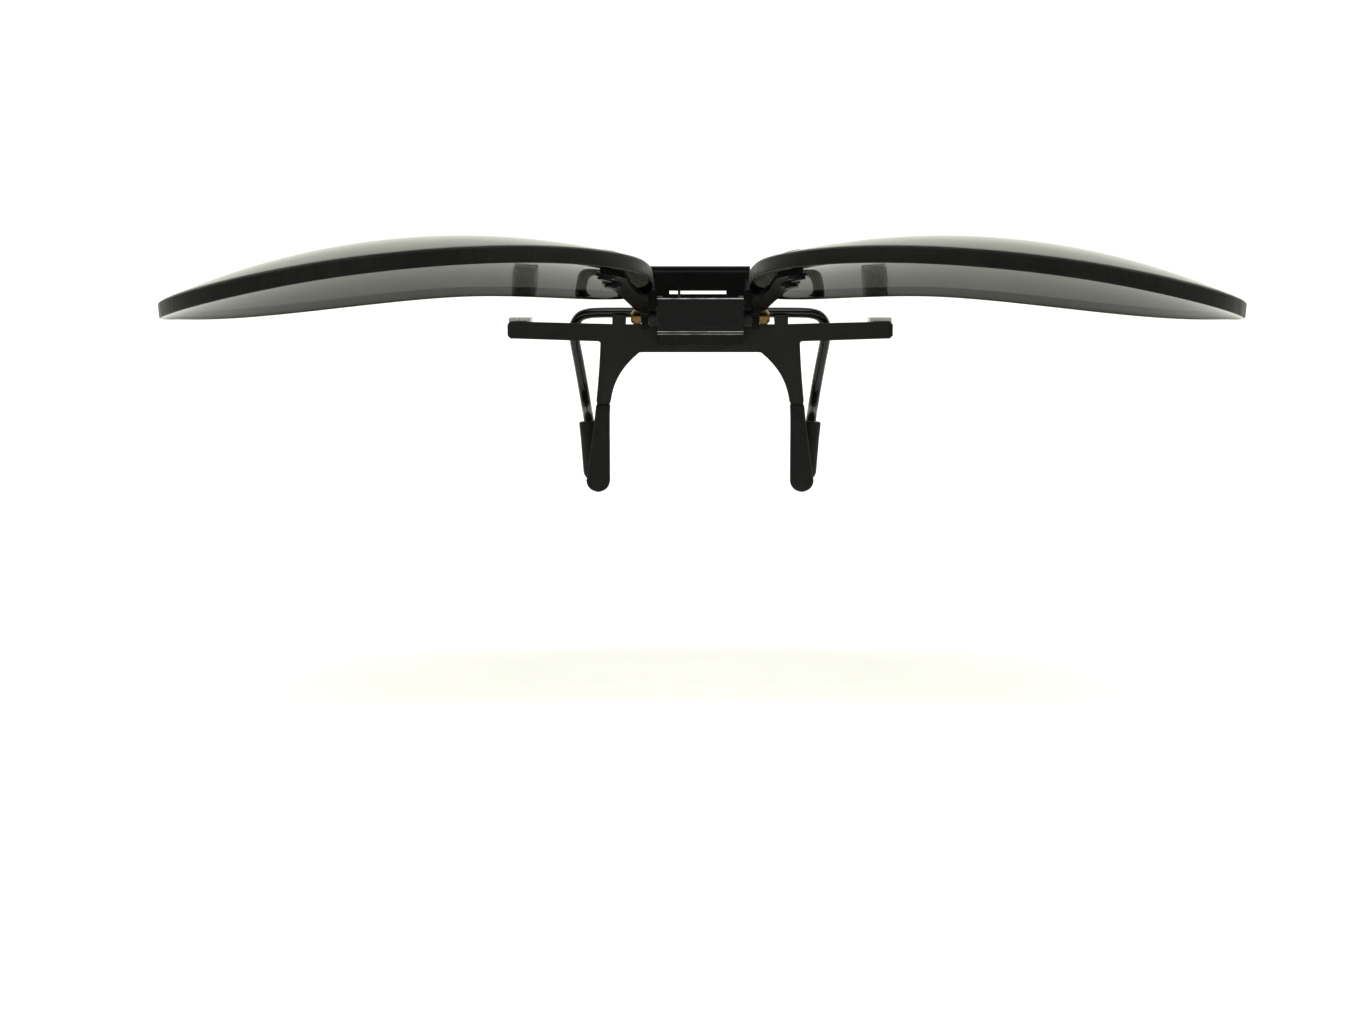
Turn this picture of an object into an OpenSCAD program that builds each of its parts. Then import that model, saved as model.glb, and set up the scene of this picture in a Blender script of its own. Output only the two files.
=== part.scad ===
// Flip-up clip-on sunglasses: spring clamp, hinge housing and two tinted lenses.
// X is left-right, +Y points to the wearer, Z is up. Millimetres.
// Y = 0 is the back of the front plate, Z = 0 is the underside of the brow tabs.
// Rest pose: lenses flipped up, clamp closed.

/* [Lenses] */
// width of each lens
lens_w = 62.0; // [54:0.2:68]
// height of each lens
lens_h = 53.5; // [44:0.1:58]
// thickness of the sheet
lens_t = 1.9; // [1.4:0.1:2.6]
// radius of the front surface
lens_r = 90; // [75:1:130]
// middle of the clip to the lens's inner edge
lens_in = 7.6; // [7:0.1:10]
// lens top above the flip shaft, when flipped down
lens_top = 3.7; // [1:0.1:5]
// lens front surface ahead of the flip shaft
lens_stand = 8.8; // [8:0.1:12]
// how far each lens wraps round the face, degrees
lens_wrap = 5.2; // [0:0.1:8]
// rise of the flipped-up lenses towards the front, degrees
flip_tilt = 5; // [0:0.5:10]
// how far the lower half leans outward
lens_skew = 0.12; // [0:0.01:0.2]

/* [Front plate] */
// thickness of the stamped plate
plate_t = 1.0; // [0.8:0.1:1.2]
// half length of the brow bar
bar_half = 27.4; // [24:0.1:32]
// height of the brow bar
bar_h = 2.4; // [2:0.1:3]
// how much the bar's ends stand above its middle
bar_rise = 0.4; // [0:0.05:0.6]
// depth of the middle panel below the bar's top
panel_h = 4.35; // [4:0.05:6]
// middle of the clip to a prong's centre at the tip
prong_x = 14.6; // [13:0.1:16]
// drop from the brow line to the centre of a prong's tip
prong_drop = 21.4; // [18:0.1:24]
// how far the brow tabs reach back
tab_reach = 4.2; // [3:0.1:5]

/* [Hinge housing] */
// half width of the folded housing
house_half = 6.05; // [5.6:0.05:6.2]
// sheet thickness of the housing and the lever
sheet_t = 0.7; // [0.5:0.05:0.8]
// height of the housing's front wall above the brow line
house_top = 4.75; // [4.4:0.05:5]
// front face of the housing ahead of the plate's back
house_reach = 5.4; // [5.3:0.05:6]

/* [Flip shaft] */
// shaft centre ahead of the plate's back
flip_reach = 2.9; // [2.8:0.05:3]
// shaft height above the brow line
flip_z = 2.0; // [1.8:0.1:2.4]
// shaft radius
shaft_r = 0.8; // [0.6:0.05:0.9]
// radius of the detent cam
cam_r = 1.65; // [1.5:0.05:1.7]
// distance of the cam's flats from its centre
cam_flat = 1.3; // [1.2:0.05:1.35]
// travel from flipped up to flipped down, degrees
flip_range = 95; // [80:1:95]

/* [Clamp] */
// axle centre behind the plate
axle_y = 1.6; // [1.6:0.05:1.8]
// axle height above the brow line
axle_z = 2.5; // [2.4:0.1:2.8]
// radius of the bent wire
wire_r = 0.75; // [0.6:0.05:0.75]
// height of the squeeze lever above the brow line
lever_top = 9.4; // [8:0.1:10]
// half width of the squeeze lever
lever_half = 7.25; // [6.8:0.05:7.3]
// lean of the lever towards the wearer, degrees
lever_lean = 8; // [4:1:12]
// radius of the rubber sleeves on the wire
sleeve_r = 1.45; // [1.2:0.05:1.6]
// closed gap between the rubber faces
pad_gap = 0.3; // [0.2:0.05:0.5]

/* [Hidden] */
$fn = 48;
charcoal = [0.15, 0.15, 0.16];
black = [0.07, 0.07, 0.08];
rubber = [0.12, 0.12, 0.12];
brass = [0.75, 0.6, 0.3];
steel = [0.7, 0.7, 0.72];
smoke = [0.2, 0.22, 0.2, 0.75];
vinyl = [0.7, 0.71, 0.68, 0.8];

bar_top = 1.3;
bar_bot = bar_top - bar_h;
panel_bot = bar_top - panel_h;
pin_y = -flip_reach;
shaft_fit = 0.05;
axle_fit = 0.06;
boot_wall = 0.35;
boot_top = -10.5;
boot_in = 0.45;
tip_r = 1.72;
lens_sides = 180;
pad_t = 0.8;
rivet_r = 0.67;
rivet_hole = 0.7;
rivet_u = [-26.9, -26.3];
rivet_v = [9.5, 2.5];
spring_r = 1.25;
spring_wire = 0.2;
foot_z = -1.5;
foot_x = 3.8;

// ---------- helpers ----------

// draws (x, z) and extrudes it along Y from y0
module xz(y0, t) {
  translate([0, y0 + t, 0]) rotate([90, 0, 0]) linear_extrude(t) children();
}

// draws (y, z) and extrudes it along X from x0
module yz(x0, t) {
  translate([x0, 0, 0]) rotate([90, 0, 90]) linear_extrude(t) children();
}

module rod(x0, x1, r, y, z) {
  translate([x0, y, z]) rotate([0, 90, 0]) cylinder(r = r, h = x1 - x0);
}

module left() {
  mirror([1, 0, 0]) children();
}

function mirrored(ps) = [for (i = [len(ps) - 1:-1:0]) [-ps[i][0], ps[i][1]]];

function arc(cx, cy, r, a0, a1, n) =
  [for (i = [0:n]) [cx + r * cos(a0 + (a1 - a0) * i / n), cy + r * sin(a0 + (a1 - a0) * i / n)]];

// the lens frame: u across, v up the face, w out of the convex side
module lens_place() {
  translate([0, pin_y, flip_z]) rotate([-flip_tilt, 0, 0])
    translate([lens_in + lens_w / 2, lens_top - lens_h / 2, lens_stand])
      rotate([0, lens_wrap, 0]) children();
}

// stands children on the lens's front surface at (u, v)
module on_lens(u, v) {
  a = asin(v / lens_r);
  translate([0, 0, -lens_r])
    rotate([-a, asin(u / (lens_r * cos(a))), 0])
      translate([0, 0, lens_r]) children();
}

// shell between two depths below the front surface
module lens_shell(d0, d1) {
  translate([0, 0, -lens_r]) difference() {
    sphere(r = lens_r - d0, $fn = 200);
    sphere(r = lens_r - d1, $fn = 200);
  }
}

// ---------- outlines ----------

function lens_power(a) =
  a < 90 ? 2.4 : a < 180 ? 2.97 : a < 270 ? 1.95 : 2.14;
function signed_power(s, p) = sign(s) * pow(abs(s), p);
function lens_point(a) =
  let (n = lens_power(a), u = lens_w / 2 * signed_power(cos(a), 2 / n),
       v = lens_h / 2 * signed_power(sin(a), 2 / n))
  [u - lens_skew * v, v];
function lens_outline() = [for (i = [0:lens_sides - 1]) lens_point(i * 360 / lens_sides)];

// prong edges by height z, widest at the top where the prong leaves the panel
function flare(z) = pow(max(0, (z + 13.5) / (panel_bot + 13.5)), 3);
function prong_inner(z) = prong_x - tip_r + 0.04 - (prong_x - tip_r - 8.58) * flare(z);
function prong_outer(z) =
  prong_x - 0.4 + (tip_r + 0.4) * pow((bar_bot - z) / (bar_bot + prong_drop), 1.5);
function boot_inset(z) = boot_in * min(1, max(0, boot_top + 0.2 - z));

function prong_edges(z_top_out, z_top_in, inset, extra) = concat(
  [for (i = [0:24]) let (z = z_top_out + (-prong_drop - z_top_out) * i / 24)
    [prong_outer(z) - inset * boot_inset(z) / boot_in + extra, z]],
  arc(prong_x, -prong_drop, tip_r - inset + extra, -5, -175, 16),
  [for (i = [0:24]) let (z = -prong_drop + (z_top_in + prong_drop) * i / 24)
    [prong_inner(z) + inset * boot_inset(z) / boot_in - extra, z]]
);

function plate_right() = concat(
  [[0, bar_top - bar_rise], [11, bar_top - bar_rise], [bar_half - 0.4, bar_top], [bar_half, bar_top - 0.4],
   [bar_half, bar_bot + 0.4], [bar_half - 0.4, bar_bot],
   [prong_outer(bar_bot) + 0.25, bar_bot - bar_rise]],
  prong_edges(bar_bot - bar_rise - 0.2, panel_bot - 0.05, boot_in, 0),
  [[8.2, panel_bot], [0, panel_bot]]
);

// ---------- clip body ----------

// the plate's lug comes up from the bar and hooks round the clamp axle
module axle_lug() {
  yz(10.6, 1.9) difference() {
    union() {
      translate([-plate_t, 0.5]) square([plate_t + 1.0, axle_z - 1.45]);
      translate([-plate_t, 0.5]) square([plate_t, axle_z - 0.85]);
      translate([axle_y, axle_z]) circle(r = 1.2);
    }
    translate([axle_y, axle_z]) circle(r = wire_r + axle_fit);
    translate([axle_y, axle_z])
      polygon([[0, 0], [1.64, 1.15], [1.6, 2.6], [-3, 2.6], [-3, -0.35], [-0.78, -0.35]]);
  }
}

module front_plate() {
  color(charcoal) difference() {
    union() {
      xz(-plate_t, plate_t) polygon(concat(plate_right(), mirrored(plate_right())));
      for (s = [0, 1]) mirror([s, 0, 0]) {
        axle_lug();
        translate([24.7, -0.2, bar_top - 0.8]) cube([2.2, tab_reach + 0.2, 0.8]);
      }
    }
    for (x = [-foot_x, foot_x]) translate([x, 1, foot_z]) rotate([90, 0, 0]) cylinder(r = 0.62, h = 3);
  }
}

module housing_profile() {
  y0 = -house_reach;
  y1 = -plate_t - sheet_t - 0.02;
  // front wall with its rolled top
  translate([y0, 0.8]) square([sheet_t, house_top - 1.2]);
  translate([y0 + 0.42, house_top - 0.42]) circle(r = 0.42);
  // lower bend, floor and foot
  difference() {
    translate([y0 + 1.2, 0.8]) circle(r = 1.2);
    translate([y0 + 1.2, 0.8]) circle(r = 1.2 - sheet_t);
    translate([y0 + 1.2, -1]) square([2, 4]);
    translate([y0 - 1, 0.8]) square([4, 3]);
  }
  translate([y0 + 1.2, -0.4]) square([y1 + sheet_t - 0.5 - y0 - 1.2, sheet_t]);
  translate([y1, -1.9]) square([sheet_t, 1.7]);
  difference() {
    translate([y1 + sheet_t - 0.5, -0.2]) circle(r = 0.5);
    translate([y1 - 0.5, -1]) square([0.49, 2]);
  }
}

module hinge_housing() {
  color(black) difference() {
    union() {
      yz(-house_half, 2 * house_half) housing_profile();
      for (s = [0, 1]) mirror([s, 0, 0]) yz(house_half - sheet_t, sheet_t) difference() {
        union() {
          translate([-house_reach + 0.3, 0]) square([house_reach - 0.3 - plate_t - 0.02, 3.6]);
          translate([-house_reach + 1.7, 3.6]) circle(r = 1.4);
          translate([-house_reach + 1.7, 3.5]) square([1.0, 1.5]);
          translate([-house_reach + 2.7, 3.6]) circle(r = 1.4);
        }
        translate([-1.02, 3]) square([2, 3]);
      }
    }
    rod(-8, 8, shaft_r + shaft_fit, pin_y, flip_z);
    for (x = [-foot_x, foot_x]) translate([x, 1, foot_z]) rotate([90, 0, 0]) cylinder(r = 0.62, h = 3);
  }
}

module housing_rivets() {
  color(steel) for (x = [-foot_x, foot_x]) translate([x, 0, foot_z]) {
    rotate([90, 0, 0]) translate([0, 0, -0.3]) cylinder(r = 0.6, h = 2.08);
    translate([0, 0.03, 0]) difference() {
      translate([0, -1.0, 0]) sphere(r = 1.5);
      translate([-3, -6, -3]) cube([6, 6, 6]);
    }
  }
}

// leaf spring that the cam's flats lie against
module detent_spring() {
  color(steel) {
    translate([-4.5, -1.5, 0.36]) cube([9, 0.25, 4.04]);
    translate([-4.5, -1.5, 0.36]) cube([9, 0.46, 0.25]);
  }
}

// soft boot over a prong's lower half
module boot_right() {
  difference() {
    xz(-plate_t - boot_wall, plate_t + 2 * boot_wall)
      polygon(prong_edges(boot_top, boot_top, 0, 0));
    xz(-plate_t - 0.02, plate_t + 0.04)
      polygon(concat([[prong_inner(-8), -8]], [[prong_outer(-8), -8]],
        prong_edges(boot_top + 0.3, boot_top + 0.3, boot_in, 0.03)));
  }
}
module prong_boot_left() { color(rubber) left() boot_right(); }
module prong_boot_right() { color(rubber) boot_right(); }

// clear sleeve over a brow tab, flat underneath where it rests on the frame
module tab_sleeve() {
  difference() {
    translate([24.2, 0.15, 0]) cube([3.1, tab_reach + 0.3, 1.8]);
    translate([24.68, -1, bar_top - 0.82]) cube([2.24, tab_reach + 1.02, 0.84]);
  }
}
module tab_sleeve_left() { color(vinyl) left() tab_sleeve(); }
module tab_sleeve_right() { color(vinyl) tab_sleeve(); }

// a tube of radius r along the points, as one closed mesh
function unit(a) = a / norm(a);
function heading(p, i) = unit(p[min(i + 1, len(p) - 1)] - p[max(i - 1, 0)]);
module tube(p, r, n, up) {
  m = len(p);
  pts = [for (i = [0:m - 1]) let (t = heading(p, i), a = unit(cross(t, up)), b = cross(a, t))
    for (j = [0:n - 1]) p[i] + r * (cos(360 * j / n) * a + sin(360 * j / n) * b)];
  sides = [for (i = [0:m - 2]) for (j = [0:n - 1])
    [i * n + j, i * n + (j + 1) % n, (i + 1) * n + (j + 1) % n, (i + 1) * n + j]];
  polyhedron(points = pts, convexity = 8,
    faces = concat(sides, [[for (j = [n - 1:-1:0]) j], [for (j = [0:n - 1]) (m - 1) * n + j]]));
}

// torsion spring round the axle: one leg up to the lever, one down the plate
spring_a0 = 129.9;
spring_turns = 5;
spring_x0 = -3.0;
spring_x1 = -0.4;
function spring_coil() = let (last = 180 + 360 * spring_turns, steps = 20 * spring_turns + 2)
  [for (i = [0:steps]) let (a = spring_a0 + (last - spring_a0) * i / steps)
    [spring_x0 + (spring_x1 - spring_x0) * i / steps,
     axle_y + spring_r * cos(a), axle_z + spring_r * sin(a)]];
module clamp_spring() {
  c = spring_coil();
  top = c[0] + 3.81 * [0, sin(spring_a0), -cos(spring_a0)];
  foot = [spring_x1, 0.27, -2.4];
  color(steel) tube(concat([top], [c[0] + 0.4 * unit(top - c[0])], c,
    [c[len(c) - 1] + 0.3 * unit(foot - c[len(c) - 1])], [foot]), spring_wire, 8, [1, 0.02, 0.01]);
}

module spacer() {
  difference() {
    rod(house_half + 0.05, 7.25, 1.4, pin_y, flip_z);
    rod(house_half - 1, 9, shaft_r + shaft_fit, pin_y, flip_z);
  }
}
module shaft_spacer_left() { color(brass) left() spacer(); }
module shaft_spacer_right() { color(brass) spacer(); }

// ---------- rear clamp ----------

sleeve_y = boot_wall + pad_gap + sleeve_r + 0.05;
sleeve_top = [16.05, sleeve_y, -12.9];
sleeve_dir = unit([-0.65, -0.05, -7.7]);
sleeve_len = 7.2;

// bends of one wire leg, from the axle's end to the straight foot
wire_knots = [
  [13.6, 1.6, 2.5], [15.2, 1.62, 2.47], [17.1, 1.95, 2.0], [18.05, 2.65, 0.6], [18.1, 3.7, -1.4],
  [17.6, 5.3, -4.8], [17.05, 5.95, -8.2], [16.5, 4.9, -11.2], [16.1, sleeve_y + 0.3, -12.75]
];
function spline(a, b, c, d, t) = 0.5 * (2 * b + (c - a) * t
  + (2 * a - 5 * b + 4 * c - d) * t * t + (3 * b - a - 3 * c + d) * t * t * t);
function wire_path() = let (k = wire_knots, n = len(k), end = sleeve_top + 0.9 * sleeve_dir)
  concat(
    [[13.6, axle_y, axle_z]],
    [for (i = [1:n - 2]) for (s = [0:5])
      spline(k[i - 1], k[i], k[i + 1], i + 2 < n ? k[i + 2] : end, s / 6)],
    [k[n - 1]],
    [for (s = [1:4]) sleeve_top + (0.3 * s + 0.1) * sleeve_dir],
    [sleeve_top + (sleeve_len + 0.5) * sleeve_dir]
  );

module rear_wire() {
  color(black) {
    rod(-14.6, 14.6, wire_r, axle_y, axle_z);
    for (s = [0, 1]) mirror([s, 0, 0]) tube(wire_path(), wire_r - 0.02, 16, [0.02, 1, 0.05]);
  }
}

module along_sleeve() {
  translate(sleeve_top)
    rotate([0, acos(sleeve_dir[2]), atan2(sleeve_dir[1], sleeve_dir[0])]) children();
}
module sleeve() {
  along_sleeve() difference() {
    union() {
      translate([0, 0, 0.25]) cylinder(r = sleeve_r, h = sleeve_len);
      translate([0, 0, 0.25 + sleeve_len]) sphere(r = sleeve_r);
    }
    translate([0, 0, -1]) cylinder(r = wire_r + 0.01, h = sleeve_len + 1.6);
  }
}
module rear_sleeve_left() { color(rubber) left() sleeve(); }
module rear_sleeve_right() { color(rubber) sleeve(); }

// the sheet that the fingers squeeze, standing behind the axle
lip_r = 1.5;
module lever_wall_profile() {
  h = (lever_top - axle_z) / cos(lever_lean) - lip_r - 0.15;
  square([sheet_t, h]);
  difference() {
    translate([lip_r, h]) circle(r = lip_r);
    translate([lip_r, h]) circle(r = lip_r - sheet_t);
    translate([lip_r, h - 3]) square([3, 6]);
    translate([-3, h - 3]) square([6, 3]);
  }
  translate([lip_r - 0.01, h + lip_r - sheet_t]) square([0.5, sheet_t]);
}
module squeeze_lever() {
  color(black) translate([0, axle_y, axle_z]) difference() {
    union() {
      translate([0, 1.9, 0]) rotate([-lever_lean, 0, 0])
        yz(-lever_half, 2 * lever_half) lever_wall_profile();
      for (s = [0, 1]) mirror([s, 0, 0]) yz(lever_half - sheet_t, sheet_t) {
        circle(r = 1.5);
        polygon([[0, -1.5], [1.95, -0.4], [2.55, 0.2], [3.15, 4.6], [2.6, 4.9], [0.4, 3.6], [-1.24, 0.84]]);
      }
    }
    rod(-9, 9, wire_r + 0.01, 0, 0);
    translate([-4.4, 1, 2.56]) cube([8.2, 3, 0.47]);
  }
}

// ---------- lens carrier ----------

module flip_shaft() {
  color(steel) {
    rod(-9.3, 9.3, shaft_r, pin_y, flip_z);
    // the cam lies flat on the spring with the lenses up, and again with them down
    translate([0, pin_y, flip_z]) yz(-4.8, 9.6) difference() {
      circle(r = cam_r);
      translate([cam_flat, -3]) square([2, 6]);
      rotate(-flip_range) translate([cam_flat, -3]) square([2, 6]);
    }
  }
}

module nut() {
  difference() {
    union() {
      rod(8.38, 9.4, 1.02, pin_y, flip_z);
      translate([9.4, pin_y, flip_z]) rotate([0, 90, 0]) cylinder(r1 = 1.02, r2 = 0.6, h = 0.4);
    }
    rod(5, 9.33, shaft_r + 0.01, pin_y, flip_z);
  }
}
module shaft_nut_left() { color(brass) left() nut(); }
module shaft_nut_right() { color(brass) nut(); }

// strap and pad formed to the back of the lens, from the cheek to the rivets
function strap_outline() = concat(
  [[-31.4, 21.8], [-28.65, 21.8], [-27.0, 17.0]],
  [[-25.2, 11.4]],
  arc(-26.4 + 0.75, 0.2 + 0.8, 0.8, 0, -90, 5),
  arc(-26.4 - 0.95, 0.2 + 0.8, 0.8, -90, -180, 5),
  [[-28.7, 10.6], [-30.6, 17.0], [-31.4, 20.0]]
);
module lens_arm() {
  difference() {
    union() {
      translate([0, pin_y, flip_z]) yz(7.3, 1.0) {
        circle(r = 1.7);
        polygon([[-1.7, 0], [-3.3, 0.7], [-3.5, 1.6], [-3.1, 2.6], [-2.4, 3.4],
          [0.9, 3.4], [1.5, 2.6], [1.7, 0]]);
      }
      // front flange of the cheek, above the spacer and the nut
      translate([6.2, pin_y - 2.4, flip_z + 1.2]) cube([2.9, 0.7, 2.7]);
      intersection() {
        lens_place() lens_shell(lens_t + 0.1, lens_t + 0.1 + pad_t);
        lens_place() translate([0, 0, -30]) linear_extrude(40) polygon(strap_outline());
        translate([7.3, -60, -60]) cube(120);
      }
    }
    rod(5, 12, shaft_r + 0.02, pin_y, flip_z);
    lens_place() for (i = [0, 1]) on_lens(rivet_u[i], rivet_v[i])
      translate([0, 0, -6]) cylinder(r = rivet_hole, h = 8);
  }
}
module lens_arm_left() { color(charcoal) left() lens_arm(); }
module lens_arm_right() { color(charcoal) lens_arm(); }

module lens() {
  lens_place() difference() {
    intersection() {
      lens_shell(0, lens_t);
      translate([0, 0, -30]) linear_extrude(40) polygon(lens_outline());
    }
    for (i = [0, 1]) on_lens(rivet_u[i], rivet_v[i])
      translate([0, 0, -6]) cylinder(r = rivet_hole, h = 8);
  }
}
module lens_left() { color(smoke) left() lens(); }
module lens_right() { color(smoke) lens(); }

module rivets() {
  back = lens_t + 0.1 + pad_t;
  lens_place() for (i = [0, 1]) on_lens(rivet_u[i], rivet_v[i]) {
    translate([0, 0, -back - 0.5]) cylinder(r = rivet_r, h = back + 0.7);
    translate([0, 0, 0.04]) cylinder(r = 1.25, h = 0.35);
    translate([0, 0, -back - 0.75]) cylinder(r = 0.95, h = 0.35);
  }
}
module lens_rivets_left() { color(steel) left() rivets(); }
module lens_rivets_right() { color(steel) rivets(); }

module washers() {
  back = lens_t + 0.1 + pad_t;
  lens_place() for (i = [0, 1]) on_lens(rivet_u[i], rivet_v[i])
    translate([0, 0, -back - 0.36]) difference() {
      cylinder(r = 1.35, h = 0.3);
      translate([0, 0, -1]) cylinder(r = rivet_hole, h = 3);
    }
}
module lens_washers_left() { color(brass) left() washers(); }
module lens_washers_right() { color(brass) washers(); }

// ---------- selection ----------

front_plate();
hinge_housing();
housing_rivets();
detent_spring();
prong_boot_left();
prong_boot_right();
tab_sleeve_left();
tab_sleeve_right();
clamp_spring();
shaft_spacer_left();
shaft_spacer_right();
rear_wire();
rear_sleeve_left();
rear_sleeve_right();
squeeze_lever();
flip_shaft();
shaft_nut_left();
shaft_nut_right();
lens_arm_left();
lens_arm_right();
lens_left();
lens_right();
lens_rivets_left();
lens_rivets_right();
lens_washers_left();
lens_washers_right();
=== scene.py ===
"""Looks for the flip-up clip-on sunglasses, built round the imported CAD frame.

Blender works in metres. The sizes here are in millimetres, unless a comment says otherwise.
"""

import math

import bmesh
import bpy
import numpy as np
from mathutils import Matrix, Vector


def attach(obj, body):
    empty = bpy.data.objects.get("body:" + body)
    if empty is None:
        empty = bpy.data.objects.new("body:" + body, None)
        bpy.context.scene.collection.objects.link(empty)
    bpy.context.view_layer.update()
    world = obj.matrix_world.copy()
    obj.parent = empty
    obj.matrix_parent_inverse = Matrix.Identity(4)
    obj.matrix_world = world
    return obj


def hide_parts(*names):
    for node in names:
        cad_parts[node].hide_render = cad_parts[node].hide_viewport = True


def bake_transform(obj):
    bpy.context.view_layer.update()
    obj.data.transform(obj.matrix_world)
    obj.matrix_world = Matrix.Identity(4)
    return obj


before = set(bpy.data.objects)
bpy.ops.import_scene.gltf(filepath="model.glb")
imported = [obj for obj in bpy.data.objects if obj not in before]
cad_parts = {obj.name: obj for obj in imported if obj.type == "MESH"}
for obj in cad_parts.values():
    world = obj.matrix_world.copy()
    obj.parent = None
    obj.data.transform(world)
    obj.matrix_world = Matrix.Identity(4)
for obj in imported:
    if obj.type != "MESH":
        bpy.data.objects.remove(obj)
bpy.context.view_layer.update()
MM = 0.001
SIDES = {"left": -1.0, "right": 1.0}

# ---------- sizes shared with the CAD ----------

LENS_W, LENS_H, LENS_T, LENS_R = 62.0, 53.5, 1.9, 90.0
LENS_IN, LENS_TOP, LENS_STAND = 7.6, 3.7, 8.8
LENS_WRAP, FLIP_TILT = 5.2, 5.0  # degrees
LENS_SKEW = 0.12
LENS_POWERS = (2.4, 2.97, 1.95, 2.14)  # how square each quarter of the outline is
PIN_Y, PIN_Z = -2.9, 2.0
AXLE_Y, AXLE_Z, AXLE_HALF, WIRE_R = 1.6, 2.5, 14.2, 0.75
WIRE_KNOTS = np.array([
    [13.6, 1.6, 2.5], [15.2, 1.62, 2.47], [17.1, 1.95, 2.0],
    [18.05, 2.65, 0.6], [18.1, 3.7, -1.4], [17.6, 5.3, -4.8],
    [17.05, 5.95, -8.2], [16.5, 4.9, -11.2], [16.1, 2.45, -12.75]])
SPRING_R, SPRING_WIRE, SPRING_TURNS = 1.25, 0.2, 5
SPRING_START, SPRING_END = 129.9, 180 + 360 * SPRING_TURNS  # degrees
SPRING_X = (-3.0, -0.4)
SPRING_LEG = 3.81
SPRING_FOOT = np.array([SPRING_X[1], 0.27, -2.4])
PLATE_T, BAR_BOT, PANEL_BOT = 1.0, -1.1, -3.05
PRONG_X, PRONG_DROP, TIP_R = 14.6, 21.4, 1.72
FLARE_Z, FLARE_X = -13.5, 8.58  # where the prong starts to widen, and how far in it gets
BOOT_TOP, BOOT_WALL = -10.5, 0.35
SLEEVE_R, SLEEVE_LEN, SLEEVE_BORE = 1.45, 7.2, 0.78
SLEEVE_TOP = np.array([16.05, 2.15, -12.9])
SLEEVE_DIR = np.array([-0.65, -0.05, -7.7]) / np.linalg.norm([-0.65, -0.05, -7.7])


# ---------- mesh helpers ----------

def make_object(name, verts_mm, faces):
    """A smooth object from points in millimetres, with its normals set outward."""
    mesh = bpy.data.meshes.new(name)
    mesh.from_pydata([tuple(v * MM for v in p) for p in verts_mm], [], faces)
    bm = bmesh.new()
    bm.from_mesh(mesh)
    bmesh.ops.remove_doubles(bm, verts=bm.verts, dist=1e-7)
    bmesh.ops.recalc_face_normals(bm, faces=bm.faces)
    bm.to_mesh(mesh)
    bm.free()
    for p in mesh.polygons:
        p.use_smooth = True
    obj = bpy.data.objects.new(name, mesh)
    bpy.context.scene.collection.objects.link(obj)
    return obj


def loft(rings, cap_last=True):
    """Points and faces of a skin over equal closed rings, capped at its first ring."""
    n = len(rings[0])
    verts = [tuple(p) for ring in rings for p in ring]
    faces = []
    for i in range(len(rings) - 1):
        for j in range(n):
            k = (j + 1) % n
            faces.append((i * n + j, i * n + k, (i + 1) * n + k, (i + 1) * n + j))
    faces.append(tuple(range(n)))
    if cap_last:
        faces.append(tuple((len(rings) - 1) * n + j for j in range(n)))
    return verts, faces


def flipped(rings, sign):
    """The same rings on the side that the sign gives."""
    return [[(sign * p[0], p[1], p[2]) for p in ring] for ring in rings]


def tube_rings(path, radius, sides, up):
    """Rings of a round tube along the path, without twist."""
    path = np.asarray(path, float)
    tangents = np.gradient(path, axis=0)
    tangents /= np.linalg.norm(tangents, axis=1)[:, None]
    normal = np.cross(tangents[0], up)
    normal /= np.linalg.norm(normal)
    turn = np.linspace(0, 2 * math.pi, sides, endpoint=False)
    rings = []
    for p, t in zip(path, tangents):
        normal = normal - t * np.dot(normal, t)
        normal /= np.linalg.norm(normal)
        side = np.cross(t, normal)
        rings.append([p + radius * (math.cos(a) * normal + math.sin(a) * side) for a in turn])
    return rings


def catmull(a, b, c, d, t):
    """A point of the smooth curve through four knots, between b and c."""
    return 0.5 * (2 * b + (c - a) * t + (2 * a - 5 * b + 4 * c - d) * t * t
                  + (3 * b - a - 3 * c + d) * t ** 3)


# ---------- material helpers: noise scales are per metre, bump distances in metres ----------

FINE_BUMP, SOFT_BUMP, TURNED_BUMP = 0.00002, 0.00003, 0.00001
# pale grey painted into a colour as thin highlight lines along edges
PAINTED_HIGHLIGHT_GREY = (0.34, 0.34, 0.35, 1)


def times(colour, factor):
    return tuple(c * factor for c in colour)


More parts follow.
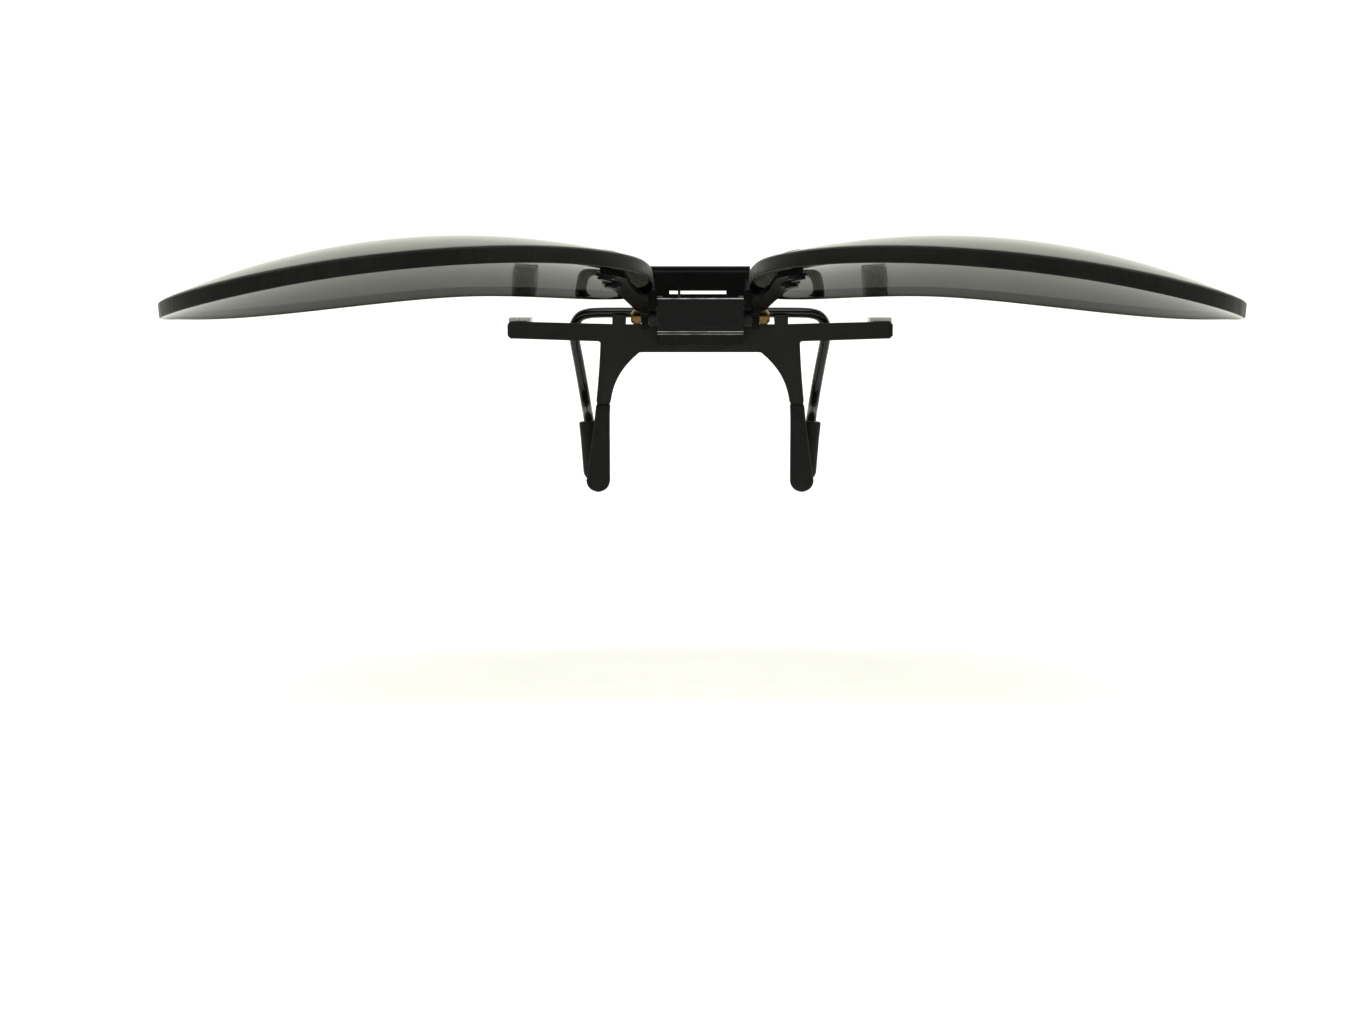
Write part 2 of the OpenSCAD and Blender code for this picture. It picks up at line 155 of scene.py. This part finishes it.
class Nodes:
    """A small wrapper that makes a node material."""

    def __init__(self, name):
        self.mat = bpy.data.materials.new(name)
        self.mat.use_nodes = True
        self.tree = self.mat.node_tree
        self.bsdf = self.tree.nodes["Principled BSDF"]
        self.coord = self.tree.nodes.new("ShaderNodeTexCoord")

    def link(self, a, b):
        self.tree.links.new(a, b)

    def scaled(self, scale):
        node = self.tree.nodes.new("ShaderNodeMapping")
        node.inputs["Scale"].default_value = scale
        self.link(self.coord.outputs["Object"], node.inputs["Vector"])
        return node.outputs["Vector"]

    def noise(self, scale, detail=4.0, rough=0.5, stretch=(1, 1, 1)):
        node = self.tree.nodes.new("ShaderNodeTexNoise")
        node.inputs["Scale"].default_value = scale
        node.inputs["Detail"].default_value = detail
        node.inputs["Roughness"].default_value = rough
        self.link(self.scaled(stretch), node.inputs["Vector"])
        return node.outputs["Fac"]

    def ramp(self, source, start, low, end, high):
        """The low colour up to start, the high one from end, and a blend between them."""
        node = self.tree.nodes.new("ShaderNodeValToRGB")
        for element, place, colour in zip(node.color_ramp.elements, (start, end), (low, high)):
            element.position = place
            element.color = (*colour, 1.0)
        self.link(source, node.inputs["Fac"])
        return node.outputs["Color"]

    def grey(self, source, low, high, start=0.3, end=0.7):
        return self.ramp(source, start, (low,) * 3, end, (high,) * 3)

    def bump(self, source, strength, distance):
        node = self.tree.nodes.new("ShaderNodeBump")
        node.inputs["Strength"].default_value = strength
        node.inputs["Distance"].default_value = distance
        self.link(source, node.inputs["Height"])
        self.link(node.outputs["Normal"], self.bsdf.inputs["Normal"])

    def math(self, operation, *values):
        node = self.tree.nodes.new("ShaderNodeMath")
        node.operation = operation
        for value, socket in zip(values, node.inputs):
            if isinstance(value, (int, float)):
                socket.default_value = value
            else:
                self.link(value, socket)
        return node.outputs[0]

    def mixed(self, factor, base, over):
        """The base colour with the colour over it where the factor is 1."""
        node = self.tree.nodes.new("ShaderNodeMix")
        node.data_type = "RGBA"
        node.inputs["B"].default_value = over
        self.link(factor, node.inputs["Factor"])
        self.link(base, node.inputs["A"])
        return node.outputs["Result"]

    def painted_highlight_line(self, height, half, front):
        """A painted highlight mask: 1 near the height in mm where the surface is further forward than
        front, broken up by noise.
        """
        split = self.tree.nodes.new("ShaderNodeSeparateXYZ")
        self.link(self.coord.outputs["Object"], split.inputs[0])
        near = self.math("COMPARE", split.outputs["Z"], height * MM, half * MM)
        ahead = self.math("LESS_THAN", split.outputs["Y"], front * MM)
        # noise that breaks up the painted highlight line
        worn = self.grey(self.noise(500, 3, 0.6), 0.25, 1.0, 0.3, 0.55)
        return self.math("MULTIPLY", self.math("MULTIPLY", near, ahead), worn)

    def colour(self, output):
        self.link(output, self.bsdf.inputs["Base Color"])

    def roughness(self, output):
        self.link(output, self.bsdf.inputs["Roughness"])

    def set(self, **values):
        for key, value in values.items():
            self.bsdf.inputs[key.replace("_", " ")].default_value = value


def coated_metal(name, base, rough, grain, specular, coat=0.0, worn=0.35, lines=()):
    """Painted steel: powder grain, slow colour drift, paler worn spots, and painted highlight lines
    along the listed edges.
    """
    m = Nodes(name)
    speck = m.noise(6000, 3, 0.6)
    drift = m.noise(160, 4, 0.6)
    wear = m.noise(900, 6, 0.7)
    tone = m.ramp(drift, 0.3, times(base, 0.85), 0.7, times(base, 1.2))
    pale = (*[c * 2.2 + 0.01 for c in base], 1)
    result = m.mixed(m.grey(wear, 0.0, worn, 0.62, 0.8), tone, pale)
    # painted highlight: pale grey mixed into the colour along each listed line
    for line in lines:
        result = m.mixed(m.painted_highlight_line(*line), result, PAINTED_HIGHLIGHT_GREY)
    m.colour(result)
    m.roughness(m.grey(wear, rough - 0.1 * worn, rough + 0.2 * worn))
    m.bump(speck, grain, FINE_BUMP)
    m.set(Specular_IOR_Level=specular, Coat_Weight=coat)
    if coat:
        m.set(Coat_Roughness=0.12)
    return m.mat


def soft_rubber(name, base):
    m = Nodes(name)
    grain = m.noise(4200, 4, 0.65)
    dust = m.noise(420, 5, 0.7)
    m.colour(m.ramp(dust, 0.35, base, 0.75, times(base, 2.0)))
    m.roughness(m.grey(dust, 0.5, 0.68))
    m.bump(grain, 0.25, SOFT_BUMP)
    m.set(Specular_IOR_Level=0.1)
    return m.mat


def bare_metal(name, low, high, rough, stretch=(1, 30, 30)):
    """Turned or drawn metal: fine lines round the X axis."""
    m = Nodes(name)
    lines = m.noise(900, 5, 0.6, stretch)
    tarnish = m.noise(700, 4, 0.6)
    m.colour(m.ramp(tarnish, 0.3, low, 0.7, high))
    m.roughness(m.grey(lines, rough * 0.7, rough * 1.4))
    m.bump(lines, 0.15, TURNED_BUMP)
    m.set(Metallic=1.0)
    return m.mat


def cloudy_vinyl(name):
    m = Nodes(name)
    haze = m.noise(260, 3, 0.5)
    m.colour(m.ramp(haze, 0.3, (0.43, 0.44, 0.41), 0.7, (0.5, 0.51, 0.47)))
    m.roughness(m.grey(haze, 0.22, 0.34))
    m.bump(m.noise(900, 2), 0.04, FINE_BUMP)
    m.set(Transmission_Weight=0.6, IOR=1.4)
    return m.mat


def smoke_lens(name, low, high):
    """Polished smoke-tinted polycarbonate with a trace of handling marks.

    A low index keeps the body from mirroring the stage, and a light coat gives the gloss.
    """
    m = Nodes(name)
    marks = m.noise(60, 6, 0.7)
    tint = m.noise(40, 4, 0.6, (1, 0.35, 1))
    m.colour(m.ramp(tint, 0.3, low, 0.7, high))
    m.roughness(m.grey(marks, 0.008, 0.025, 0.45, 0.75))
    m.set(Transmission_Weight=1.0, IOR=1.06, Coat_Weight=0.2, Coat_Roughness=0.03, Coat_IOR=1.5)
    return m.mat


def lens_edge(name):
    """The ground rim of a lens: near black, with fine cut lines across it."""
    m = Nodes(name)
    cuts = m.noise(2600, 3, 0.6, (1, 1, 0.04))
    patches = m.noise(90, 3, 0.5, (1, 1, 0.2))
    tone = m.math("MULTIPLY", cuts, patches)
    m.colour(m.ramp(tone, 0.15, (0.0035, 0.0035, 0.0034), 0.42, (0.0075, 0.0072, 0.0066)))
    m.roughness(m.grey(cuts, 0.3, 0.5))
    m.bump(cuts, 0.2, FINE_BUMP)
    m.set(Specular_IOR_Level=0.06)
    return m.mat


# height, half width and furthest-back Y of each painted highlight line on the housing's folds
HOUSING_HIGHLIGHT_LINES = [(4.68, 0.06, -4.9), (0.05, 0.05, -5.0), (-0.36, 0.04, -3.9)]
MATS = {
    "plate_coat": coated_metal("plate_coat", (0.0095, 0.0095, 0.0088), 0.55, 0.3, 0.12),
    # painted shade: a darker copy of the black paint for the lens arms, which sit in shade
    "arm_coat_shaded": coated_metal("arm_coat_shaded", (0.0028, 0.0028, 0.0024), 0.4, 0.12, 0.03),
    "housing_coat": coated_metal("housing_coat", (0.003, 0.003, 0.0033), 0.26, 0.01, 0.04,
                                 coat=0.11, worn=0.04, lines=HOUSING_HIGHLIGHT_LINES),
    "lever_coat": coated_metal("lever_coat", (0.0016, 0.0016, 0.0017), 0.26, 0.01, 0.02,
                               coat=0.04, worn=0.03),
    "wire_coat": coated_metal("wire_coat", (0.004, 0.0035, 0.0037), 0.18, 0.02, 0.1,
                              coat=0.42, worn=0.1),
    "black_rubber": soft_rubber("black_rubber", (0.0048, 0.0048, 0.005)),
    "clear_vinyl": cloudy_vinyl("clear_vinyl"),
    "spring_steel": bare_metal("spring_steel", (0.14, 0.14, 0.145), (0.2, 0.2, 0.205), 0.32,
                               (1, 6, 6)),
    "blued_steel": bare_metal("blued_steel", (0.009, 0.009, 0.0095), (0.022, 0.022, 0.023), 0.4),
    "plain_brass": bare_metal("plain_brass", (0.1, 0.062, 0.023), (0.14, 0.088, 0.032), 0.24,
                              (30, 1, 1)),
    "smoke_lens": smoke_lens("smoke_lens", (0.036, 0.039, 0.032), (0.05, 0.053, 0.045)),
}
# painted shade: a darker copy of the lens tint for the back faces, the underside when flipped up
SHADED_BACK_LENS = smoke_lens("smoke_lens_back_shaded", (0.02, 0.022, 0.017), (0.03, 0.032, 0.026))
EDGE = lens_edge("lens_edge")


def paint(obj, look, *more):
    obj.data.materials.clear()
    for mat in (MATS[look], *more):
        obj.data.materials.append(mat)


# ---------- lenses ----------

LENS_POINTS, LENS_RINGS, LENS_BEVEL = 240, 26, 0.28
RING_CROWDING = 0.85  # below 1, the rings lie closer together near the rim
BEVEL_TURNS = np.radians([22.5, 45, 67.5, 90])
RIM_SHARES = (0.25, 0.5, 0.75)
RIM_LAYERS = 2 * len(BEVEL_TURNS) + len(RIM_SHARES) - 1
LENS_PLACE = (
    Matrix.Translation((0, PIN_Y, PIN_Z))
    @ Matrix.Rotation(math.radians(-FLIP_TILT), 4, "X")
    @ Matrix.Translation((LENS_IN + LENS_W / 2, LENS_TOP - LENS_H / 2, LENS_STAND))
    @ Matrix.Rotation(math.radians(LENS_WRAP), 4, "Y")
)


def lens_outline(count):
    """The lens outline, one power for each quarter, as in the CAD."""
    pts = []
    for i in range(count):
        a = 2 * math.pi * i / count
        power = LENS_POWERS[4 * i // count]
        c, s = math.cos(a), math.sin(a)
        u = LENS_W / 2 * math.copysign(abs(c) ** (2 / power), c)
        v = LENS_H / 2 * math.copysign(abs(s) ** (2 / power), s)
        pts.append((u - LENS_SKEW * v, v))
    return np.array(pts)


def even_outline(count):
    """The same outline with its points evenly spaced along it."""
    fine = lens_outline(4000)
    closed = np.vstack([fine, fine[:1]])
    steps = np.linalg.norm(np.diff(closed, axis=0), axis=1)
    run = np.concatenate([[0], np.cumsum(steps)])
    want = np.linspace(0, run[-1], count, endpoint=False)
    return np.stack([np.interp(want, run, closed[:, 0]), np.interp(want, run, closed[:, 1])], axis=1)


def cap_height(points, depth):
    """The height of the lens sphere, depth inside its front, at points of the outline plane."""
    u, v = points[..., 0], points[..., 1]
    return np.sqrt((LENS_R - depth) ** 2 - u * u - v * v) - LENS_R


def lens_layers():
    """Closed layers of points from the front's middle over the ground rim to the back's middle."""
    rim = even_outline(LENS_POINTS)
    inner = rim * (1 - LENS_BEVEL / np.linalg.norm(rim, axis=1)[:, None])
    steps = range(1, LENS_RINGS + 1)
    front = [inner * (k / LENS_RINGS) ** RING_CROWDING for k in steps]
    front_z, back_z = cap_height(rim, 0), cap_height(rim, LENS_T)
    layers = [(p, cap_height(p, 0)) for p in front]
    layers += [(inner + (rim - inner) * math.sin(a), front_z - LENS_BEVEL * (1 - math.cos(a)))
               for a in BEVEL_TURNS]
    layers += [(rim, (front_z - LENS_BEVEL) * (1 - share) + (back_z + LENS_BEVEL) * share)
               for share in RIM_SHARES]
    layers += [(inner + (rim - inner) * math.sin(a), back_z + LENS_BEVEL * (1 - math.cos(a)))
               for a in reversed(BEVEL_TURNS)]
    layers += [(p, cap_height(p, LENS_T)) for p in reversed(front)]
    return layers


def build_lens(side):
    sign = SIDES[side]
    n = LENS_POINTS
    layers = lens_layers()
    middle = np.zeros(2)
    verts = [(0.0, 0.0, float(cap_height(middle, 0)))]
    for p, z in layers:
        verts += [(float(p[j, 0]), float(p[j, 1]), float(z[j])) for j in range(n)]
    verts.append((0.0, 0.0, float(cap_height(middle, LENS_T))))
    faces = [(0, 1 + j, 1 + (j + 1) % n) for j in range(n)]
    for i in range(len(layers) - 1):
        a, b = 1 + i * n, 1 + (i + 1) * n
        faces += [(a + j, b + j, b + (j + 1) % n, a + (j + 1) % n) for j in range(n)]
    last = 1 + (len(layers) - 1) * n
    faces += [(last + j, len(verts) - 1, last + (j + 1) % n) for j in range(n)]
    placed = [LENS_PLACE @ Vector(v) for v in verts]
    obj = make_object("smoke_lens_" + side, [(sign * p.x, p.y, p.z) for p in placed], faces)
    # the back faces take the darker painted-shade copy of the lens tint
    paint(obj, "smoke_lens", EDGE, SHADED_BACK_LENS)
    front_end, rim_end = LENS_RINGS, LENS_RINGS + RIM_LAYERS
    for i, poly in enumerate(obj.data.polygons):
        layer = i // n - 1
        poly.material_index = 0 if layer < front_end else 1 if layer < rim_end else 2
    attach(obj, "lens_carrier")
    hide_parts("lens_" + side)


# ---------- rear wire, clamp spring, rear sleeves and prong boots ----------

def wire_leg(steps):
    """The path of the right leg, from the axle's end to the straight foot in its sleeve."""
    knots = WIRE_KNOTS
    end = SLEEVE_TOP + 0.9 * SLEEVE_DIR
    pts = []
    for i in range(1, len(knots) - 1):
        after = knots[i + 2] if i + 2 < len(knots) else end
        for s in range(steps):
            pts.append(catmull(knots[i - 1], knots[i], knots[i + 1], after, s / steps))
    pts.append(knots[-1])
    pts += [SLEEVE_TOP + (0.3 * s + 0.1) * SLEEVE_DIR for s in range(1, 5)]
    pts.append(SLEEVE_TOP + (SLEEVE_LEN + 0.4) * SLEEVE_DIR)
    return np.array(pts)


def build_wire():
    leg = wire_leg(10)
    other = leg[::-1] * np.array([-1, 1, 1])
    axle = [np.array([x, AXLE_Y, AXLE_Z]) for x in np.linspace(-AXLE_HALF, AXLE_HALF, 25)]
    path = np.vstack([other, axle, leg])
    for _ in range(3):  # eases the joins between the knots
        path[1:-1] = 0.25 * path[:-2] + 0.5 * path[1:-1] + 0.25 * path[2:]
    # a hair thinner than the wire in the CAD
    rings = tube_rings(path, WIRE_R - 0.005, 24, np.array([0.02, 1, 0.05]))
    obj = make_object("bent_wire", *loft(rings))
    paint(obj, "wire_coat")
    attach(obj, "rear_clamp")
    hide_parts("rear_wire")


def build_clamp_spring():
    """The coil round the axle, one leg up to the lever and one down the plate.

    It winds up as the clamp opens.
    """
    share = np.linspace(0, 1, 36 * SPRING_TURNS)
    turn = np.radians(SPRING_START + (SPRING_END - SPRING_START) * share)
    coil = np.stack([SPRING_X[0] + (SPRING_X[1] - SPRING_X[0]) * share,
                     AXLE_Y + SPRING_R * np.cos(turn),
                     AXLE_Z + SPRING_R * np.sin(turn)], axis=1)
    top = coil[0] + SPRING_LEG * np.array([0, math.sin(turn[0]), -math.cos(turn[0])])
    upper = [top + (coil[0] - top) * k for k in np.linspace(0, 0.95, 12)]
    lower = [coil[-1] + (SPRING_FOOT - coil[-1]) * k for k in np.linspace(0.05, 1, 12)]
    path = np.vstack([upper, coil, lower])
    obj = make_object("torsion_spring",
                      *loft(tube_rings(path, SPRING_WIRE, 10, np.array([1, 0.02, 0.01]))))
    paint(obj, "blued_steel")
    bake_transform(obj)
    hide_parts("clamp_spring")


def build_sleeve(side):
    """A rubber tube pushed up the wire, with a rolled lip and a closed round end."""
    lip_r, lip_run, lip_rise = 1.2, 0.22, 0.24
    profile = [(0.0, SLEEVE_BORE), (0.0, lip_r)]  # distance along the sleeve, and radius
    profile += [(lip_run - lip_run * math.cos(a), lip_r + lip_rise * math.sin(a))
                for a in np.radians([25, 50, 75, 90])]
    profile += [(0.6, SLEEVE_R), (2.4, SLEEVE_R - 0.03), (4.8, SLEEVE_R - 0.02)]
    profile += [(SLEEVE_LEN, SLEEVE_R)]
    profile += [(SLEEVE_LEN + SLEEVE_R * math.sin(a), SLEEVE_R * math.cos(a))
                for a in np.radians(np.linspace(8, 86, 12))]
    turn = np.linspace(0, 2 * math.pi, 40, endpoint=False)
    a = np.cross(SLEEVE_DIR, [0, 1, 0])
    a /= np.linalg.norm(a)
    b = np.cross(SLEEVE_DIR, a)
    rings = []
    for along, radius in profile:
        centre = SLEEVE_TOP + (0.25 + along) * SLEEVE_DIR
        rings.append([centre + radius * (math.cos(t) * a + math.sin(t) * b) for t in turn])
    obj = make_object("rubber_sleeve_" + side, *loft(flipped(rings, SIDES[side])))
    paint(obj, "black_rubber")
    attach(obj, "rear_clamp")
    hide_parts("rear_sleeve_" + side)


def prong_inner(z):
    flare = max(0.0, (z - FLARE_Z) / (PANEL_BOT - FLARE_Z)) ** 3
    return PRONG_X - TIP_R + 0.04 - (PRONG_X - TIP_R - FLARE_X) * flare


def prong_outer(z):
    return PRONG_X - 0.4 + (TIP_R + 0.4) * ((BAR_BOT - z) / (BAR_BOT + PRONG_DROP)) ** 1.5


def soft_ring(x0, x1, y0, y1, z, round_mm, n=8):
    """A rectangle with round corners at height z."""
    r = min(round_mm, (x1 - x0) / 2 * 0.999, (y1 - y0) / 2 * 0.999)
    corners = ((x1 - r, y1 - r, 0), (x0 + r, y1 - r, 90), (x0 + r, y0 + r, 180), (x1 - r, y0 + r, 270))
    pts = []
    for cx, cy, start in corners:
        for i in range(n + 1):
            a = math.radians(start + 90 * i / n)
            pts.append((cx + r * math.cos(a), cy + r * math.sin(a), z))
    return pts


BOOT_LIP = ((0.0, 0.16), (0.06, 0.07), (0.16, 0.02), (0.3, 0.0))  # drop and inset of each ring
LIP_ROUND, BOOT_ROUND, TIP_THINNING = 0.42, 0.48, 0.62


def build_boot(side):
    """A dipped rubber boot over the prong, round at its tip and thin at its upper lip."""
    y0, y1 = -PLATE_T - BOOT_WALL, BOOT_WALL
    rings = []
    for drop, inset in BOOT_LIP:
        z = BOOT_TOP - drop
        rings.append(soft_ring(prong_inner(z) + inset, prong_outer(z) - inset,
                               y0 + inset, y1 - inset, z, LIP_ROUND))
    for z in np.linspace(BOOT_TOP - 1.0, -PRONG_DROP, 22):
        rings.append(soft_ring(prong_inner(z), prong_outer(z), y0, y1, z, BOOT_ROUND))
    lo, hi = prong_inner(-PRONG_DROP), prong_outer(-PRONG_DROP)
    mid, half = (lo + hi) / 2, (hi - lo) / 2
    ymid, yhalf = (y0 + y1) / 2, (y1 - y0) / 2
    for a in np.radians(np.linspace(8, 88, 14)):
        z = -PRONG_DROP - TIP_R * math.sin(a)
        w = half * math.cos(a)
        thick = yhalf * (1 - TIP_THINNING * math.sin(a) ** 5)
        rings.append(soft_ring(mid - w, mid + w, ymid - thick, ymid + thick, z, BOOT_ROUND))
    obj = make_object("prong_boot_skin_" + side, *loft(flipped(rings, SIDES[side])))
    paint(obj, "black_rubber")
    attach(obj, "clip_body")
    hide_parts("prong_boot_" + side)


for side in SIDES:
    build_lens(side)
build_wire()
build_clamp_spring()
for side in SIDES:
    build_sleeve(side)
    build_boot(side)

# ---------- CAD nodes that keep their shape: look, and bevel width ----------

KEPT = {
    "front_plate": ("plate_coat", 0.12),
    "hinge_housing": ("housing_coat", 0.1),
    "housing_rivets": ("housing_coat", 0.0),
    "squeeze_lever": ("lever_coat", 0.12),
    "detent_spring": ("spring_steel", 0.04),
    "flip_shaft": ("spring_steel", 0.0),
}
KEPT_PAIRS = {
    "shaft_spacer": ("blued_steel", 0.08),
    "shaft_nut": ("plain_brass", 0.06),
    "tab_sleeve": ("clear_vinyl", 0.2),
    "lens_arm": ("arm_coat_shaded", 0.1),
    "lens_rivets": ("blued_steel", 0.08),
    "lens_washers": ("blued_steel", 0.05),
}
KEPT.update({f"{name}_{side}": look for name, look in KEPT_PAIRS.items() for side in SIDES})


def soften_edges(obj, width_mm):
    """Joins the flat facets, then rounds the edges between them."""
    flat = obj.modifiers.new("flat", "DECIMATE")
    flat.decimate_type = "DISSOLVE"
    flat.angle_limit = math.radians(0.5)
    edge = obj.modifiers.new("edge", "BEVEL")
    edge.width = width_mm * MM
    edge.segments = 2
    edge.limit_method = "ANGLE"
    edge.angle_limit = math.radians(35)


for node, (look, bevel_mm) in KEPT.items():
    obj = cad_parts[node]
    paint(obj, look)
    if bevel_mm:
        soften_edges(obj, bevel_mm)

# ---------- stage, light and camera: sizes in metres, powers in watts ----------

FLOOR_Z = -0.052
FLOOR_FLAT, FLOOR_BEND, FLOOR_TOP = 1.6, 0.8, 3.0
LIGHTS = (  # name, place, target, width, depth, power
    ("top_box", (0, 0.4, 1.6), (0, 0.3, 0), 2.4, 2.4, 2),
    ("key_strip", (0, -0.72, 1.3), (0, 0, 0), 2.0, 0.3, 17),
    ("back_wash", (0, 1.0, 1.6), (0, 2.0, 0.3), 2.6, 0.8, 13),
    ("left_box", (-1.2, -0.5, 0.7), (0, 0, 0), 0.9, 0.9, 3),
    ("right_box", (1.2, -0.5, 0.7), (0, 0, 0), 0.9, 0.9, 3),
)
CAMERA_PLACE = (-0.0023, -0.300, 0.0131)
CAMERA_DIP = 7.27  # degrees below level
CAMERA_LENS = 55.2  # mm, on a 36 mm sensor


def stage_floor():
    """A pale round floor that sweeps up on every side."""
    profile = [(FLOOR_FLAT * k / 4, 0.0) for k in range(1, 5)]
    profile += [(FLOOR_FLAT + FLOOR_BEND * math.sin(a), FLOOR_BEND * (1 - math.cos(a)))
                for a in np.linspace(0, math.pi / 2, 20)[1:]]
    profile.append((FLOOR_FLAT + FLOOR_BEND, FLOOR_TOP))
    turn = np.linspace(0, 2 * math.pi, 96, endpoint=False)
    rings = [[(r / MM * math.cos(a), r / MM * math.sin(a), (z + FLOOR_Z) / MM) for a in turn]
             for r, z in profile]
    obj = make_object("stage_floor", *loft(rings, cap_last=False))
    m = Nodes("stage_paper")
    fibre = m.noise(300, 3)
    m.colour(m.ramp(fibre, 0.3, (0.86, 0.86, 0.82), 0.7, (0.9, 0.9, 0.86)))
    m.set(Roughness=0.9, Specular_IOR_Level=0.1,
          Emission_Color=(1, 1, 0.94, 1), Emission_Strength=0.2)
    obj.data.materials.append(m.mat)


def area_light(name, place, target, width, depth, power):
    data = bpy.data.lights.new(name, "AREA")
    data.shape = "RECTANGLE"
    data.size, data.size_y = width, depth
    data.energy = power
    obj = bpy.data.objects.new(name, data)
    obj.location = place
    aim = Vector(target) - Vector(place)
    obj.rotation_euler = aim.to_track_quat("-Z", "Y").to_euler()
    bpy.context.scene.collection.objects.link(obj)


stage_floor()
for light in LIGHTS:
    area_light(*light)

world = bpy.data.worlds.new("studio")
world.use_nodes = True
backdrop = world.node_tree.nodes["Background"]
backdrop.inputs["Color"].default_value = (1, 1, 1, 1)
backdrop.inputs["Strength"].default_value = 0.2
bpy.context.scene.world = world
bpy.context.scene.view_settings.view_transform = "Standard"

camera = bpy.data.cameras.new("camera")
camera.sensor_width = 36.0
camera.lens = CAMERA_LENS
camera.clip_start = 0.01
camera.clip_end = 20.0
cam = bpy.data.objects.new("camera", camera)
cam.location = CAMERA_PLACE
cam.rotation_euler = (math.radians(90 - CAMERA_DIP), 0, 0)
bpy.context.scene.collection.objects.link(cam)
bpy.context.scene.camera = cam
